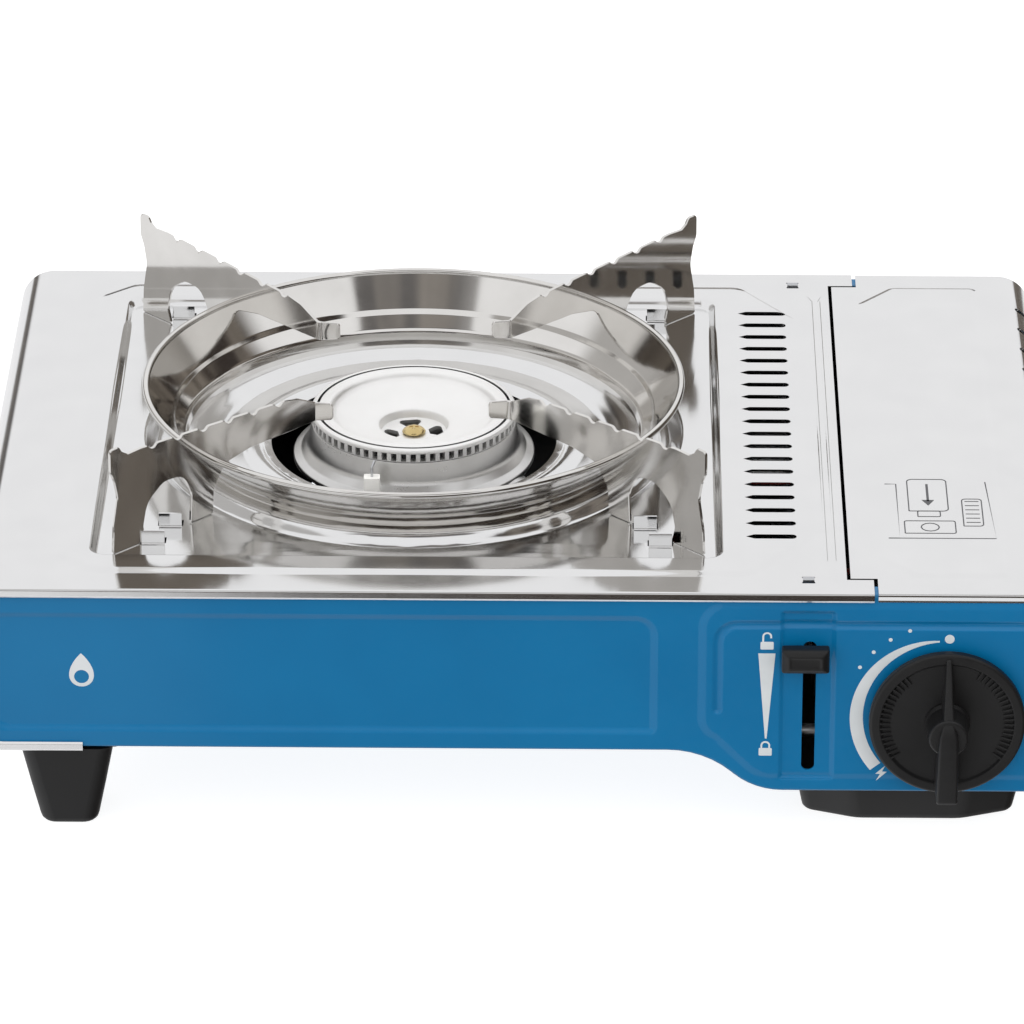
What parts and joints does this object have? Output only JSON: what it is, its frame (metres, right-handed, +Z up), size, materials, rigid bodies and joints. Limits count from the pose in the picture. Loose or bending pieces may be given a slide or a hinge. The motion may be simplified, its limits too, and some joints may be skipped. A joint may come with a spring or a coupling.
{
  "type": "camping stove",
  "caption": "Portable table-top gas stove with one round burner in a dished steel top, a ring-and-arm pan support, a hinged cartridge lid, a front knob and a lock lever.",
  "frame": {"origin": "on the table, under the middle of the overall bounding box", "axes": "+X to the cartridge end (right, seen from the front), +Y to the back, +Z up"},
  "size_m": [0.386, 0.293, 0.1328],
  "materials": {
    "blue_paint": "gloss",
    "stainless": "satin",
    "bright_steel": "polished",
    "zinc_steel": "satin",
    "yellow_zinc": "satin",
    "cast_aluminium": "satin",
    "sheet_aluminium": "satin",
    "brass": "satin",
    "black_plastic": "matte",
    "black_rubber": "matte",
    "white_ceramic": "satin",
    "red_silicone": "matte"
  },
  "bodies": {
    "stove_body": {"base_shell": "blue_paint", "top_plate": "stainless", "lid_hinge_pin": "zinc_steel", "lid_catch": "zinc_steel", "burner_bowl": "cast_aluminium", "burner_cap": "cast_aluminium", "burner_screw": "yellow_zinc", "burner_bracket": "zinc_steel", "burner_bracket_screws": "zinc_steel", "igniter_insulator": "white_ceramic", "igniter_electrode": "zinc_steel", "igniter_bracket": "zinc_steel", "piezo_igniter": "black_plastic", "ignition_lead": "red_silicone", "regulator_bracket": "zinc_steel", "regulator_body": "cast_aluminium", "regulator_cover": "zinc_steel", "regulator_screws": "zinc_steel", "inlet_seal": "black_rubber", "collar_guide": "zinc_steel", "jet_injector": "brass", "gas_tube": "zinc_steel", "lever_pivot_pin": "zinc_steel", "partition_plate": "zinc_steel", "heat_transfer_plate": "sheet_aluminium", "foot_front_left": "black_plastic", "foot_rear_left": "black_plastic", "foot_front_right": "black_plastic", "foot_rear_right": "black_plastic", "foot_screws": "zinc_steel"},
    "lid": {"cartridge_lid": "stainless"},
    "spindle": {"valve_spindle": "brass"},
    "knob": {"control_knob": "black_plastic"},
    "lever": {"lock_lever": "zinc_steel", "lever_button": "black_plastic"},
    "carriage": {"cartridge_carriage": "zinc_steel"},
    "pan_support": {"pan_support_ring": "bright_steel", "pan_support_arm_front_left": "bright_steel", "pan_support_arm_front_right": "bright_steel", "pan_support_arm_rear_left": "bright_steel", "pan_support_arm_rear_right": "bright_steel"}
  },
  "joints": [
    {"name": "lid_hinge", "type": "hinge", "parent": "stove_body", "child": "lid", "pos_m": [0.1894, 0.01, 0.026], "axis": [0, 1, 0], "range_deg": [0, 95]},
    {"name": "knob_turn", "type": "hinge", "parent": "stove_body", "child": "spindle", "pos_m": [0.1509, -0.1275, 0.047], "axis": [0, -1, 0], "range_deg": [0, 130]},
    {"name": "knob_push", "type": "slide", "parent": "spindle", "child": "knob", "axis": [0, 1, 0], "range_m": [0, 0.0025], "stiffness_N_per_m": 800},
    {"name": "lock_lever_swing", "type": "hinge", "parent": "stove_body", "child": "lever", "pos_m": [0.10265, -0.05, 0.053], "axis": [1, 0, 0], "range_deg": [0, 26]},
    {"name": "carriage_slide", "type": "slide", "parent": "stove_body", "child": "carriage", "axis": [0, -1, 0], "range_m": [0, 0.00905]},
    {"name": "pan_support_lift", "type": "slide", "parent": "stove_body", "child": "pan_support", "axis": [0, 0, 1], "range_m": [0, 0.06]}
  ],
  "couplings": [
    {"joint": "carriage_slide", "follows": "lock_lever_swing", "m_per_rad": 0.019833}
  ]
}
